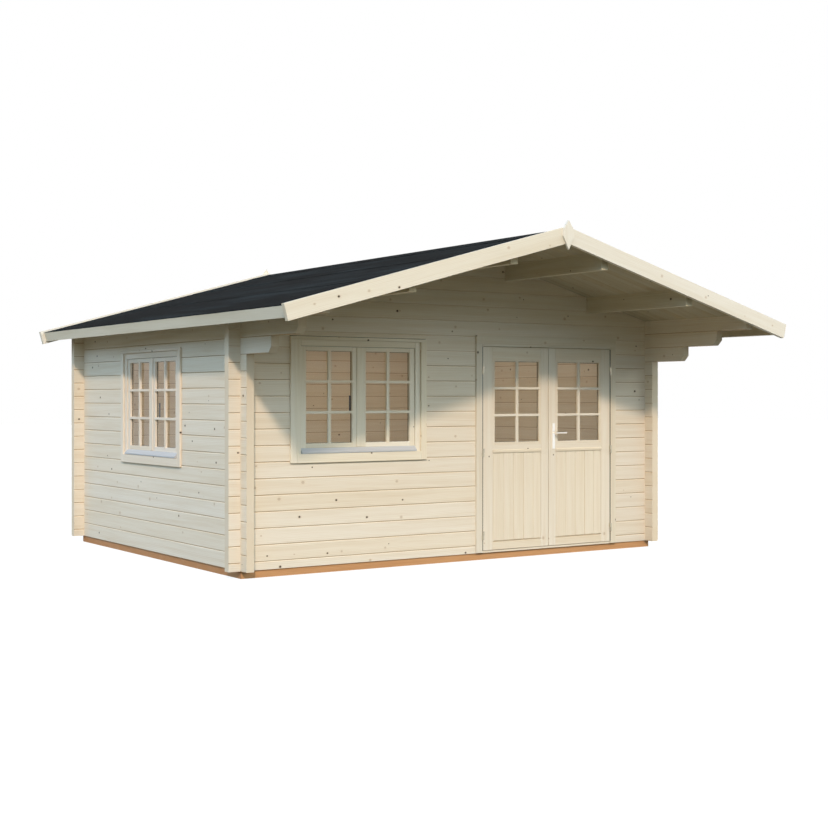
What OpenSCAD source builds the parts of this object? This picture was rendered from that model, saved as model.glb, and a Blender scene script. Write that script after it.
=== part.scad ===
// Log cabin with a gable roof that runs forward as a canopy over a double door.
// X is the cabin's right, seen from the front, Y is its back and Z is up.
// The origin is under the middle of the whole outline, on the ground.

/* [Log walls] */
// Width over the faces of the side walls
wall_w = 4460; // [4300:10:4800]
// Depth over the faces of the front and back walls
wall_d = 3560; // [3300:10:4200]
// Thickness of a wall log
log_t = 70; // [58:1:80]
// Height that one log covers
log_h = 134; // [130:1:136]
// How far the log ends run past a corner
log_end = 105; // [70:1:150]
// Depth of the V groove where two logs meet
groove = 5; // [2:0.5:8]
// Play round each notch at the corners
notch_play = 0.25; // [0.1:0.05:0.4]
// Number of whole logs under the gables
courses = 13; // [12:1:14]
// Height of a side wall's top log at its outer face, under the roof boards
top_log_h = 109; // [90:1:130]

/* [Foundation and floor] */
// Height of a foundation beam
beam_h = 63; // [45:1:80]
// Width of a foundation beam
beam_w = 95; // [90:1:120]
// How far a beam stands back from the wall face
beam_inset = 12; // [5:1:20]
// Thickness of the floor boards
floor_t = 19; // [16:1:28]
// Width of a floor joist
joist_w = 58; // [40:1:80]
// Number of floor joists
joists = 6; // [4:1:9]
// Gap between the floor boards and the walls
floor_gap = 2; // [1:0.5:10]

/* [Roof] */
// Fall of the roof, in mm for each mm across
slope = 0.272; // [0.26:0.001:0.29]
// How far the roof runs past the front wall
canopy = 1400; // [1250:10:1600]
// How far the roof runs past the back wall
rear_overhang = 230; // [200:10:400]
// How far the roof boards run past the side walls
eave_out = 305; // [250:5:380]
// Thickness of the roof boards
roof_t = 19; // [16:1:28]
// Thickness of the felt on the roof boards
felt_t = 4; // [3:0.5:8]
// Play between the roof boards, the felt and the logs that carry them
roof_play = 0.1; // [0.05:0.05:0.3]
// Width of a barge board
barge_w = 128; // [110:1:145]
// Thickness of a barge board
barge_t = 40; // [18:1:45]
// How far a barge board stands above the roof boards
barge_rise = 20; // [12:1:30]
// How far a barge board's end runs past the fascia
barge_out = 38; // [20:1:50]
// Height of an eave fascia
fascia_h = 94; // [80:1:120]
// Thickness of an eave fascia
fascia_t = 20; // [16:1:28]
// Distance of the upper purlins from the ridge
upper_purlin_x = 477; // [400:1:600]
// Distance of the lower purlins from the ridge
lower_purlin_x = 1447; // [1300:1:1600]
// Height of a purlin below the roof boards, at its middle
purlin_h = 139; // [110:1:150]
// How far the ends of the purlins and of the top logs stay behind the barge boards
end_back = 45; // [0:1:80]
// Length of the lowest corbel log past the front wall
corbel_low = 525; // [450:5:700]
// Length of the middle corbel log past the front wall
corbel_mid = 955; // [850:5:1150]
// Chamfer on the lower corner of a corbel's end
corbel_cut = 50; // [30:1:60]
// Height of the finial board at the gable's point
finial_h = 237; // [200:1:260]
// How far the finial board stands above the barge boards
finial_rise = 61; // [50:1:80]
// Width of the finial board
finial_w = 114; // [100:1:150]
// Width of the finial board at its upper shoulders
finial_neck = 90; // [70:1:96]
// Height of each of the finial board's two upper tapers
finial_taper = 64; // [50:1:80]
// Thickness of the finial board
finial_t = 20; // [16:1:28]

/* [Casings] */
// Thickness of the casing boards round doors and windows
casing_t = 20; // [16:1:25]
// Width of a window's side casings
window_casing_w = 58; // [50:1:70]
// How far a window's side casings cover its frame
casing_cover = 4; // [2:1:10]
// Height of the casing board under a window
window_casing_low = 75; // [60:1:90]
// Height of the casing strip over a window
window_casing_top = 26; // [20:1:40]
// Width of the door's side casings
door_casing_w = 68; // [60:1:80]
// Height of the casing board over the door
door_casing_top = 78; // [60:1:90]

/* [Double door] */
// Distance of the door's middle from the cabin's middle
door_x = 936; // [850:1:1000]
// Width of one door leaf
leaf_w = 753; // [700:1:800]
// Thickness of a door leaf
leaf_t = 40; // [36:1:45]
// How far a door leaf stands back from the face of its casing
leaf_set = 5; // [3:1:8]
// Gap between a leaf and what stands round it
door_gap = 5; // [5:0.5:6]
// Gap between the two leaves
meeting_gap = 7; // [6:0.5:8]
// Thickness of the door frame beside the leaves
jamb_t = 30; // [25:1:40]
// Thickness of the door frame over the leaves
head_t = 19; // [15:1:25]
// How far the frame's stop reaches behind a leaf
stop_w = 20; // [15:1:25]
// Thickness of the threshold
threshold_t = 17; // [14:1:20]
// How far the threshold's nose runs out under the leaves
threshold_nose = 8; // [5:1:15]
// Height of the door casing's foot above the foundation
casing_foot = 4; // [2:1:10]
// Width of a leaf's stile on the hinge side
hinge_stile = 134; // [110:1:150]
// Width of a leaf's stile on the meeting side
meeting_stile = 108; // [95:1:130]
// Height of a leaf's top rail
top_rail = 128; // [110:1:150]
// Height of a leaf's middle rail
mid_rail = 97; // [80:1:120]
// Height of a leaf's bottom rail
bottom_rail = 90; // [60:1:120]
// Height of a leaf's board panel
panel_h = 783; // [700:1:850]
// How much further than the glass a leaf's panel reaches on each side
panel_side = 24; // [10:1:35]
// Thickness of a leaf's board panel
panel_t = 20; // [16:1:24]
// Width of one board in a leaf's panel
panel_board = 114; // [90:1:130]
// Depth of the V groove between the panel's boards
panel_groove = 3; // [2:0.5:5]
// Height of the moulding over a leaf's panel
moulding_h = 30; // [20:1:40]
// How far that moulding stands out of the leaf
moulding_out = 6; // [3:1:10]

/* [Door hardware] */
// Radius of a hinge barrel
barrel_r = 7; // [6:0.5:8]
// Height of a hinge, both halves together
hinge_h = 74; // [60:1:90]
// Radius of a hinge's pin
pin_r = 4; // [3:0.5:4.5]
// Play between a hinge's pin and the half that turns on it
pin_play = 0.1; // [0.05:0.05:0.3]
// Gap between the two halves of a hinge
hinge_gap = 1; // [0.6:0.1:2]
// Width of a hinge's plate beside its pin
hinge_plate = 12; // [10:1:20]
// From the bottom hinge's middle to the leaf's foot
hinge_end = 135; // [100:1:200]
// From the top hinge's middle to the leaf's top
hinge_head = 207; // [120:1:240]
// Height of the lever's axis above the leaf's bottom
lever_z = 1048; // [950:1:1100]
// Length of the door lever
lever_l = 125; // [105:1:140]
// Radius of the lever
lever_r = 9; // [7.5:0.5:10]
// Radius of the spindle between the two levers
spindle_r = 7; // [5:0.5:7]
// Play of the spindle in the handle plates
spindle_play = 0.1; // [0.05:0.05:0.3]
// Play of the spindle in the door leaf
leaf_play = 1.5; // [1:0.5:4]
// Distance of a lever's axis from its handle plate
lever_out = 46; // [38:1:60]
// Height of the handle plate
plate_h = 235; // [200:1:260]
// Height of the handle plate's top above the lever's axis
plate_above = 86; // [60:1:110]
// Width of the handle plate
plate_w = 29; // [26:1:42]
// Thickness of the handle plate
plate_t = 8; // [5:1:10]

/* [Windows] */
// Distance of the front window's middle from the cabin's middle
window_x = -1106; // [-1200:1:-1000]
// Distance of the side window's middle from the front wall's face
side_window_y = 1800; // [1600:1:1950]
// Width over a window's frame
window_w = 1239; // [1150:1:1300]
// Height of a window, counted in logs
window_logs = 7.5; // [6.5:0.5:7.5]
// Thickness of a window's frame beside and over the sashes
frame_bar = 52; // [45:1:65]
// Height of a window's frame under the sill
frame_low = 59; // [50:1:70]
// Height of a window's sloping sill
sill_h = 48; // [40:1:60]
// How far the sill stands out of the casing
sill_out = 14; // [8:1:18]
// Thickness of the sill's front edge
sill_edge = 9; // [6:1:14]
// Outer stile of a sash
sash_stile = 53; // [45:1:65]
// Stile of a sash at the middle of the window
sash_meeting = 67; // [55:1:80]
// Rails of a sash
sash_rail = 38; // [34:1:50]
// Thickness of a sash
sash_t = 40; // [34:1:45]
// Gap between the two sashes
sash_gap = 2; // [1.5:0.5:4]
// Width of the strip that covers the gap between the sashes
cover_w = 55; // [40:1:64]
// Thickness of that strip
cover_t = 8; // [5:1:10]
// How far a sash stands back from the wall's face
sash_back = 12; // [8:1:20]
// Thickness of the glass
glass_t = 4; // [3:1:6]
// How far the glass stands back from the face of a sash or a door leaf
glass_back = 18; // [14:1:20]
// How far a rebate holds the glass round its edge
rebate = 8; // [6:1:12]

/* [Window handles] */
// Width of the rose on the sash
rose_w = 28; // [22:1:34]
// Height of the rose
rose_h = 64; // [50:1:80]
// Thickness of the rose
rose_t = 6; // [4:1:10]
// Radius of the neck between the rose and the grip
neck_r = 8; // [6:0.5:9]
// Distance of the grip from the sash
grip_out = 40; // [30:1:50]
// Width of the grip
grip_w = 24; // [16:1:26]
// Thickness of the grip
grip_t = 12; // [8:1:16]
// Length of the grip below the neck's axis
grip_l = 120; // [100:1:140]
// Length of the grip above the neck's axis
grip_top = 12; // [8:1:20]

/* [Hidden] */
pine = "#ead9ba";
impregnated = "#b57a45";
felt_black = "#2c2f31";
steel = "#d9dadb";
pane = "#cfe0e4";
dark_bronze = "#2a2320";
far = 10000;
eps = 1;
glass_play = 0.5;
sash_play = 1;

// Plan of the cabin
hw = wall_w / 2;
front_y = (canopy - wall_d - rear_overhang) / 2;
back_y = front_y + wall_d;
roof_front = front_y - canopy;
roof_back = back_y + rear_overhang;
log_front = roof_front + barge_t + end_back;
log_back = roof_back - barge_t - end_back;

// The front and back walls start with half a log, the side walls with a whole one
half = log_h / 2;
front_joint = beam_h + half;
side_joint = beam_h + log_h;
gable_z = front_joint + courses * log_h;
opening_top = gable_z + half;
corbel_z = side_joint + (courses - 1) * log_h;
top_log = corbel_z + 2 * log_h;
ridge_z = top_log + top_log_h + slope * hw;
function roof_z(x) = ridge_z - slope * abs(x);
function log_top(x) = roof_z(x) - roof_play;
function slanted(t) = t * sqrt(1 + slope * slope);

// Door
leaf_z = beam_h + threshold_t + door_gap;
leaf_top = opening_top - head_t - door_gap;
leaf_h = leaf_top - leaf_z;
pair_half = leaf_w + meeting_gap / 2;
door_half = pair_half + door_gap + jamb_t;
leaf_face = front_y - casing_t + leaf_set;
pin_y = front_y - casing_t - barrel_r - hinge_gap;
pin_dx = pair_half + door_gap / 2;
leaf_glass_w = leaf_w - hinge_stile - meeting_stile;
leaf_glass_z = leaf_z + bottom_rail + panel_h + mid_rail;
leaf_glass_h = leaf_top - top_rail - leaf_glass_z;
spindle_x = door_x + meeting_gap / 2 + meeting_stile / 2;
spindle_z = leaf_z + lever_z;
hinge_zs = [leaf_z + hinge_end, (leaf_z + hinge_end + leaf_top - hinge_head) / 2, leaf_top - hinge_head];
pin_end = barrel_r / 2;

// Windows, whose openings end half a log above a joint of the wall
window_h = window_logs * log_h;
front_window_z = opening_top - window_h;
side_window_z = front_window_z - half;
window_y = front_y + side_window_y;
sash_w = window_w / 2 - frame_bar;
sash_z = frame_low + sill_h;
sash_h = window_h - frame_bar - sash_z;

// Corner helpers
module across(x0, x1) {
    translate([x0, 0, 0]) rotate([90, 0, 90]) linear_extrude(x1 - x0) children();
}
module along(y0, y1) {
    translate([0, y1, 0]) rotate([90, 0, 0]) linear_extrude(y1 - y0) children();
}
module box(low, high) {
    translate(low) cube(high - low);
}

// Section of stacked logs from z0 to z1, with a V groove at each joint between them
function joints_in(z0, z1, first) =
    [for (z = [first : log_h : z1 - eps]) if (z > z0 + eps) z];
function one_side(zs, face, dir) =
    [for (z = zs) each [[face, z - groove], [face + dir * groove, z], [face, z + groove]]];
function reversed(list) = [for (i = [len(list) - 1 : -1 : 0]) list[i]];
module log_stack(z0, z1, first) {
    zs = joints_in(z0, z1, first);
    polygon(concat([[0, z0]], one_side(zs, 0, 1), [[0, z1]],
                   [[log_t, z1]], reversed(one_side(zs, log_t, -1)), [[log_t, z0]]));
}

// A single log with its four long edges chamfered
module one_log(z0, z1) {
    polygon([[groove, z0], [log_t - groove, z0], [log_t, z0 + groove], [log_t, z1 - groove],
             [log_t - groove, z1], [groove, z1], [0, z1 - groove], [0, z0 + groove]]);
}

// Where the other wall's logs pass through a corner, one notch for each
module notches(x, y, centre) {
    for (k = [0 : courses + 2]) {
        z = centre + k * log_h;
        box([x - notch_play, y - notch_play, z - half / 2 - notch_play],
            [x + log_t + notch_play, y + log_t + notch_play, z + half / 2 + notch_play]);
    }
}
module side_wall_notches(x) {
    for (y = [front_y, back_y - log_t]) notches(x, y, front_joint - half);
}
module cross_wall_notches(y) {
    for (x = [-hw, hw - log_t]) notches(x, y, side_joint - half);
}

// Everything that lies below the roof boards, and the purlins that pass the gables
module under_roof(y0, y1) {
    along(y0, y1) polygon([[-far, -far], [far, -far], [far, log_top(far)], [0, log_top(0)],
                           [-far, log_top(far)]]);
}
module purlin_section(x) {
    low = roof_z(x) - purlin_h;
    polygon([[x - log_t / 2, low], [x + log_t / 2, low],
             [x + log_t / 2, log_top(x + log_t / 2)], [x - log_t / 2, log_top(x - log_t / 2)]]);
}
module purlins(side) {
    color(pine) along(log_front, log_back)
        for (x = [upper_purlin_x, lower_purlin_x]) purlin_section(side * x);
}

// Foundation of impregnated beams, fused into one frame
module foundation_beams() {
    color(impregnated) difference() {
        box([-hw + beam_inset, front_y + beam_inset, 0], [hw - beam_inset, back_y - beam_inset, beam_h]);
        box([-hw + beam_inset + beam_w, front_y + beam_inset + beam_w, -eps],
            [hw - beam_inset - beam_w, back_y - beam_inset - beam_w, beam_h + eps]);
    }
}
module floor_joists() {
    inner = hw - beam_inset - beam_w;
    step = 2 * inner / (joists + 1);
    color(impregnated) for (i = [1 : joists])
        box([-inner + i * step - joist_w / 2, front_y + beam_inset + beam_w, 0],
            [-inner + i * step + joist_w / 2, back_y - beam_inset - beam_w, beam_h]);
}
module floor_boards() {
    inset = log_t + floor_gap;
    color(pine) box([-hw + inset, front_y + inset, beam_h], [hw - inset, back_y - inset, beam_h + floor_t]);
}

// A side wall: its two lower corbel logs step out under the canopy, the top log carries the eave
module corbel_log(z, reach) {
    difference() {
        along(front_y - reach, back_y + log_end) one_log(z, z + log_h);
        translate([-eps, front_y - reach, z]) rotate([90, 0, 90]) linear_extrude(log_t + 2 * eps)
            polygon([[-eps, -eps], [corbel_cut, -eps], [-eps, corbel_cut]]);
    }
}
module side_wall(x0) {
    difference() {
        translate([x0, 0, 0]) {
            along(front_y - log_end, back_y + log_end) log_stack(beam_h, corbel_z, side_joint);
            corbel_log(corbel_z, corbel_low);
            corbel_log(corbel_z + log_h, corbel_mid);
            along(log_front, log_back)
                polygon([[groove, top_log], [log_t - groove, top_log], [log_t, top_log + groove],
                         [log_t, log_top(x0 + log_t)], [0, log_top(x0)], [0, top_log + groove]]);
        }
        side_wall_notches(x0);
    }
}
module left_wall() {
    color(pine) difference() {
        side_wall(-hw);
        box([-hw - eps, window_y - window_w / 2, side_window_z],
            [-hw + log_t + eps, window_y + window_w / 2, side_window_z + window_h]);
    }
}
module right_wall() { color(pine) side_wall(hw - log_t); }

// Front and back walls run between and through the side walls
module cross_wall(y, x0, x1, z0, z1) {
    difference() {
        translate([0, y, 0]) across(x0, x1) log_stack(z0, z1, front_joint);
        cross_wall_notches(y);
    }
}
module gable(y) {
    intersection() {
        cross_wall(y, -hw - log_end, hw + log_end, gable_z, ridge_z);
        under_roof(y - eps, y + log_t + eps);
    }
}
module purlin_pockets(y) {
    along(y - eps, y + log_t + eps)
        for (side = [-1, 1], x = [upper_purlin_x, lower_purlin_x])
            let (low = roof_z(x) - purlin_h)
                translate([side * x - log_t / 2, low]) square([log_t, 2 * purlin_h]);
}
module gable_ends(y) {
    for (side = [-1, 1])
        box([side < 0 ? -far : hw - log_t - notch_play, y - eps, top_log + half],
            [side < 0 ? -hw + log_t + notch_play : far, y + log_t + eps, ridge_z + eps]);
}
module window_hole() {
    box([window_x - window_w / 2, front_y - eps, front_window_z],
        [window_x + window_w / 2, front_y + log_t + eps, front_window_z + window_h]);
}
module door_hole() {
    box([door_x - door_half, front_y - eps, -eps], [door_x + door_half, front_y + log_t + eps, opening_top]);
}
module front_wall_left() {
    color(pine) difference() {
        cross_wall(front_y, -hw - log_end, door_x - door_half, beam_h, gable_z);
        window_hole();
    }
}
module front_wall_right() {
    color(pine) cross_wall(front_y, door_x + door_half, hw + log_end, beam_h, gable_z);
}
module front_gable() {
    color(pine) difference() {
        gable(front_y);
        purlin_pockets(front_y);
        gable_ends(front_y);
        window_hole();
        door_hole();
    }
}
module back_wall() {
    color(pine) cross_wall(back_y - log_t, -hw - log_end, hw + log_end, beam_h, gable_z);
}
module back_gable() {
    color(pine) difference() {
        gable(back_y - log_t);
        purlin_pockets(back_y - log_t);
        gable_ends(back_y - log_t);
    }
}
module left_purlins() { purlins(-1); }
module right_purlins() { purlins(1); }

// Roof boards and felt, one slab for each slope
module slope_section(side, lift, t, reach) {
    low = roof_z(reach);
    polygon([[0, ridge_z + lift], [side * reach, low + lift],
             [side * reach, low + lift + slanted(t)], [0, ridge_z + lift + slanted(t)]]);
}
// Unit vectors down a slope and square to it
function down(side) = [side, -slope] / sqrt(1 + slope * slope);
function off(side) = [side * slope, 1] / sqrt(1 + slope * slope);
// Upper corner of the roof boards' square-cut end
function eave_top(side) = [side * (hw + eave_out), roof_z(hw + eave_out) + slanted(roof_t)];

module roof_boards(side) {
    color(pine) along(roof_front + barge_t, roof_back - barge_t)
        polygon([[0, ridge_z], eave_top(side) - roof_t * off(side), eave_top(side),
                 [0, ridge_z + slanted(roof_t)]]);
}
module roof_felt(side) {
    color(felt_black) along(roof_front + barge_t, roof_back - barge_t)
        slope_section(side, slanted(roof_t) + roof_play, felt_t, hw + eave_out + fascia_t);
}
module left_roof_boards() { roof_boards(-1); }
module right_roof_boards() { roof_boards(1); }
module left_roof_felt() { roof_felt(-1); }
module right_roof_felt() { roof_felt(1); }

// Barge boards close the roof's ends, cut square at the eaves
module barge_board(side, y) {
    top = ridge_z + slanted(roof_t) + barge_rise;
    reach = hw + eave_out + fascia_t + barge_out;
    end = [side * reach, top - slope * reach];
    foot = end + barge_w / sqrt(1 + slope * slope) * [-side * slope, -1];
    color(pine) along(y, y + barge_t)
        polygon([[0, top], end, foot, [0, top - slanted(barge_w)]]);
}
module front_left_barge_board() { barge_board(-1, roof_front); }
module front_right_barge_board() { barge_board(1, roof_front); }
module back_left_barge_board() { barge_board(-1, roof_back - barge_t); }
module back_right_barge_board() { barge_board(1, roof_back - barge_t); }

// Eave fascias, square to the slope, close the lower ends of the roof boards
module fascia(side) {
    inner = eave_top(side) + roof_play * down(side);
    outer = inner + fascia_t * down(side);
    color(pine) along(roof_front + barge_t, roof_back - barge_t)
        polygon([inner, outer, outer - fascia_h * off(side), inner - fascia_h * off(side)]);
}
module left_fascia() { fascia(-1); }
module right_fascia() { fascia(1); }

// Finial boards, pointed at both ends, cover the joint of the barge boards
module finial(y) {
    top = ridge_z + slanted(roof_t) + barge_rise + finial_rise;
    color(pine) along(y, y + finial_t)
        polygon([[0, top], [finial_neck / 2, top - finial_taper], [finial_w / 2, top - 2 * finial_taper],
                 [0, top - finial_h], [-finial_w / 2, top - 2 * finial_taper],
                 [-finial_neck / 2, top - finial_taper]]);
}
module front_finial() { finial(roof_front - finial_t); }
module back_finial() { finial(roof_back); }

// Door frame: jambs and head in the opening, each with a stop behind the leaves
module door_frame() {
    z0 = beam_h + threshold_t;
    back = front_y + log_t;
    stop_y = leaf_face + leaf_t + door_gap;
    color(pine) difference() {
        box([door_x - door_half, front_y, z0], [door_x + door_half, back, opening_top]);
        box([door_x - door_half + jamb_t, front_y - eps, z0 - eps],
            [door_x + door_half - jamb_t, stop_y, leaf_top + door_gap]);
        box([door_x - pair_half + stop_w, front_y - eps, z0 - eps],
            [door_x + pair_half - stop_w, back + eps, leaf_top - stop_w]);
    }
}
module door_threshold() {
    between = pair_half + door_gap;
    color(pine) {
        box([door_x - door_half, front_y, beam_h],
            [door_x + door_half, front_y + log_t, beam_h + threshold_t]);
        box([door_x - between, front_y - threshold_nose, beam_h],
            [door_x + between, front_y + eps, beam_h + threshold_t]);
    }
}
module door_casing() {
    inner = pair_half + door_gap;
    outer = inner + door_casing_w;
    head = leaf_top + door_gap;
    top = opening_top + door_casing_top;
    color(pine) difference() {
        box([door_x - outer, front_y - casing_t, beam_h + casing_foot], [door_x + outer, front_y, top]);
        box([door_x - inner, front_y - casing_t - eps, 0], [door_x + inner, front_y + eps, head]);
    }
}

// Hinges: the lower half of each barrel and its pin stay on the casing, the upper half turns
module fixed_half(x, z, away) {
    top = z - hinge_gap / 2;
    foot = z - hinge_h / 2;
    translate([x, pin_y, foot]) cylinder(r = barrel_r, h = top - foot, $fn = 48);
    translate([x, pin_y, top - eps]) cylinder(r = pin_r, h = hinge_h / 2 - pin_end, $fn = 32);
    box([min(x, x + away * hinge_plate), pin_y, foot],
        [max(x, x + away * hinge_plate), front_y - casing_t, top]);
}
module turning_half(x, z, away) {
    foot = z + hinge_gap / 2;
    top = z + hinge_h / 2;
    difference() {
        union() {
            translate([x, pin_y, foot]) cylinder(r = barrel_r, h = top - foot, $fn = 48);
            box([min(x, x + away * hinge_plate), pin_y, foot],
                [max(x, x + away * hinge_plate), leaf_face, top]);
        }
        translate([x, pin_y, foot - eps])
            cylinder(r = pin_r + pin_play, h = hinge_h / 2 - pin_end + eps, $fn = 32);
    }
}
module door_frame_hinges() {
    color(steel) for (side = [-1, 1], z = hinge_zs) fixed_half(door_x + side * pin_dx, z, side);
}
module leaf_hinges(side) {
    color(steel) for (z = hinge_zs) turning_half(door_x + side * pin_dx, z, -side);
}
module left_door_hinges() { leaf_hinges(-1); }
module right_door_hinges() { leaf_hinges(1); }

// A door leaf: framed, with board panel below and a rebated glass opening above
module leaf(side) {
    inner = door_x + side * meeting_gap / 2;
    outer = inner + side * leaf_w;
    x0 = min(inner, outer);
    stile0 = side < 0 ? hinge_stile : meeting_stile;
    stile1 = side < 0 ? meeting_stile : hinge_stile;
    open0 = x0 + stile0;
    open1 = x0 + leaf_w - stile1;
    panel0 = open0 - panel_side;
    panel1 = open1 + panel_side;
    panel_z = leaf_z + bottom_rail;
    panel_face = leaf_face + (leaf_t - panel_t) / 2;
    difference() {
        union() {
            box([x0, leaf_face, leaf_z], [x0 + leaf_w, leaf_face + leaf_t, leaf_top]);
            box([panel0, leaf_face - moulding_out, panel_z + panel_h],
                [panel1, leaf_face + eps, panel_z + panel_h + moulding_h]);
        }
        for (y = [leaf_face - eps, panel_face + panel_t])
            box([panel0, y, panel_z], [panel1, y + (leaf_t - panel_t) / 2 + eps, panel_z + panel_h]);
        for (x = [panel0 + panel_board : panel_board : panel1 - panel_board / 2])
            translate([x, panel_face, panel_z]) linear_extrude(panel_h)
                polygon([[-panel_groove, -eps / 2], [panel_groove, -eps / 2], [0, panel_groove]]);
        box([open0, leaf_face - eps, leaf_glass_z],
            [open1, leaf_face + leaf_t + eps, leaf_glass_z + leaf_glass_h]);
        box([open0 - rebate, leaf_face + glass_back, leaf_glass_z - rebate],
            [open1 + rebate, leaf_face + leaf_t + eps, leaf_glass_z + leaf_glass_h + rebate]);
    }
}
module leaf_glass(side) {
    inner = door_x + side * (meeting_gap / 2 + meeting_stile - rebate + glass_play);
    outer = door_x + side * (pair_half - hinge_stile + rebate - glass_play);
    color(pane, 0.35)
        box([min(inner, outer), leaf_face + glass_back, leaf_glass_z - rebate],
            [max(inner, outer), leaf_face + glass_back + glass_t,
             leaf_glass_z + leaf_glass_h + rebate - glass_play]);
}
module left_door() { color(pine) leaf(-1); }
module left_door_glass() { leaf_glass(-1); }
module right_door() {
    color(pine) difference() {
        leaf(1);
        spindle_hole(leaf_play);
    }
}
module right_door_glass() { leaf_glass(1); }

// Lever handle: a plate and a lever on each side of the right leaf, on one spindle
module spindle_hole(play) {
    translate([spindle_x, leaf_face - far / 2, spindle_z]) rotate([-90, 0, 0])
        cylinder(r = spindle_r + play, h = far, $fn = 48);
}
module handle_plates() {
    low = spindle_z + plate_above - plate_h;
    color(steel) difference() {
        for (y = [leaf_face - plate_t, leaf_face + leaf_t])
            box([spindle_x - plate_w / 2, y, low], [spindle_x + plate_w / 2, y + plate_t, low + plate_h]);
        spindle_hole(spindle_play);
    }
}
module door_lever() {
    front = leaf_face - plate_t - lever_out;
    back = leaf_face + leaf_t + plate_t + lever_out;
    color(steel) {
        translate([spindle_x, front, spindle_z]) rotate([-90, 0, 0])
            cylinder(r = spindle_r, h = back - front, $fn = 48);
        for (y = [front, back])
            translate([spindle_x - lever_r, y, spindle_z]) rotate([0, 90, 0])
                cylinder(r = lever_r, h = lever_l, $fn = 48);
    }
}

// A window, made round its own middle and set into its wall; -Y is outside
module set_front_window() { translate([window_x, front_y, front_window_z]) children(); }
module set_side_window() { translate([-hw, window_y, side_window_z]) rotate([0, 0, -90]) children(); }
module both_windows() {
    set_front_window() children();
    set_side_window() children();
}
module window_frame() {
    difference() {
        box([-window_w / 2, 0, 0], [window_w / 2, log_t, window_h]);
        box([-sash_w, -eps, sash_z], [sash_w, log_t + eps, window_h - frame_bar]);
        translate([-window_w / 2 - eps, 0, 0]) rotate([90, 0, 90]) linear_extrude(window_w + 2 * eps)
            polygon([[-eps, frame_low], [sash_back, frame_low], [sash_back, sash_z + eps],
                     [-eps, sash_z + eps]]);
    }
}
module window_sill() {
    across(-sash_w, sash_w)
        polygon([[-casing_t - sill_out, frame_low], [sash_back, frame_low], [sash_back, sash_z - sash_play],
                 [-casing_t - sill_out, frame_low + sill_edge]]);
}
function glass_from(side) = side < 0 ? -sash_w + sash_stile : sash_meeting;
function glass_to(side) = side < 0 ? -sash_meeting : sash_w - sash_stile;
module sash(side) {
    x0 = side < 0 ? -sash_w : sash_gap / 2;
    x1 = side < 0 ? -sash_gap / 2 : sash_w;
    z1 = sash_z + sash_h;
    difference() {
        box([x0, sash_back, sash_z], [x1, sash_back + sash_t, z1]);
        box([glass_from(side), 0, sash_z + sash_rail], [glass_to(side), log_t + eps, z1 - sash_rail]);
        box([glass_from(side) - rebate, sash_back + glass_back, sash_z + sash_rail - rebate],
            [glass_to(side) + rebate, log_t + eps, z1 - sash_rail + rebate]);
    }
}
module sash_glass(side) {
    y = sash_back + glass_back;
    top = sash_z + sash_h - sash_rail + rebate - glass_play;
    box([glass_from(side) - rebate + glass_play, y, sash_z + sash_rail - rebate],
        [glass_to(side) + rebate - glass_play, y + glass_t, top]);
}

// The strip is fixed to the right sash and laps over the left one
module cover_strip() {
    front = sash_back - cover_t;
    low = sash_z + sash_play;
    high = sash_z + sash_h - sash_play;
    box([-cover_w / 2, front, low], [cover_w / 2, sash_back - sash_play, high]);
    box([sash_gap / 2, front, low], [cover_w / 2, sash_back, high]);
}
module window_casing() {
    inner = window_w / 2 - casing_cover;
    outer = inner + window_casing_w;
    low = frame_low - window_casing_low;
    difference() {
        box([-outer, -casing_t, low], [outer, 0, window_h + window_casing_top]);
        box([-inner, -casing_t - eps, frame_low], [inner, eps, window_h]);
    }
}
module window_handle() {
    x = -sash_meeting / 2;
    y = sash_back + sash_t;
    z = sash_z + sash_h / 2;
    box([x - rose_w / 2, y, z - rose_h / 2], [x + rose_w / 2, y + rose_t, z + rose_h / 2]);
    translate([x, y, z]) rotate([-90, 0, 0]) cylinder(r = neck_r, h = grip_out + eps, $fn = 32);
    box([x - grip_w / 2, y + grip_out, z - grip_l], [x + grip_w / 2, y + grip_out + grip_t, z + grip_top]);
}
module window_frames() { color(pine) both_windows() window_frame(); }
module window_sills() { color(pine) both_windows() window_sill(); }
module window_sashes() {
    color(pine) both_windows() {
        sash(-1);
        sash(1);
        cover_strip();
    }
}
module window_glass() {
    color(pane, 0.35) both_windows() {
        sash_glass(-1);
        sash_glass(1);
    }
}
module window_casings() { color(pine) both_windows() window_casing(); }
module window_handles() { color(dark_bronze) both_windows() window_handle(); }

foundation_beams();
floor_joists();
floor_boards();
left_wall();
right_wall();
front_wall_left();
front_wall_right();
front_gable();
back_wall();
back_gable();
left_purlins();
right_purlins();
left_roof_boards();
right_roof_boards();
left_roof_felt();
right_roof_felt();
front_left_barge_board();
front_right_barge_board();
back_left_barge_board();
back_right_barge_board();
left_fascia();
right_fascia();
front_finial();
back_finial();
door_frame();
door_threshold();
door_casing();
door_frame_hinges();
left_door();
left_door_glass();
left_door_hinges();
right_door();
right_door_glass();
right_door_hinges();
handle_plates();
door_lever();
window_frames();
window_sills();
window_sashes();
window_glass();
window_casings();
window_handles();
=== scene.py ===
import math

import bpy
from mathutils import Matrix, Vector


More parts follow.
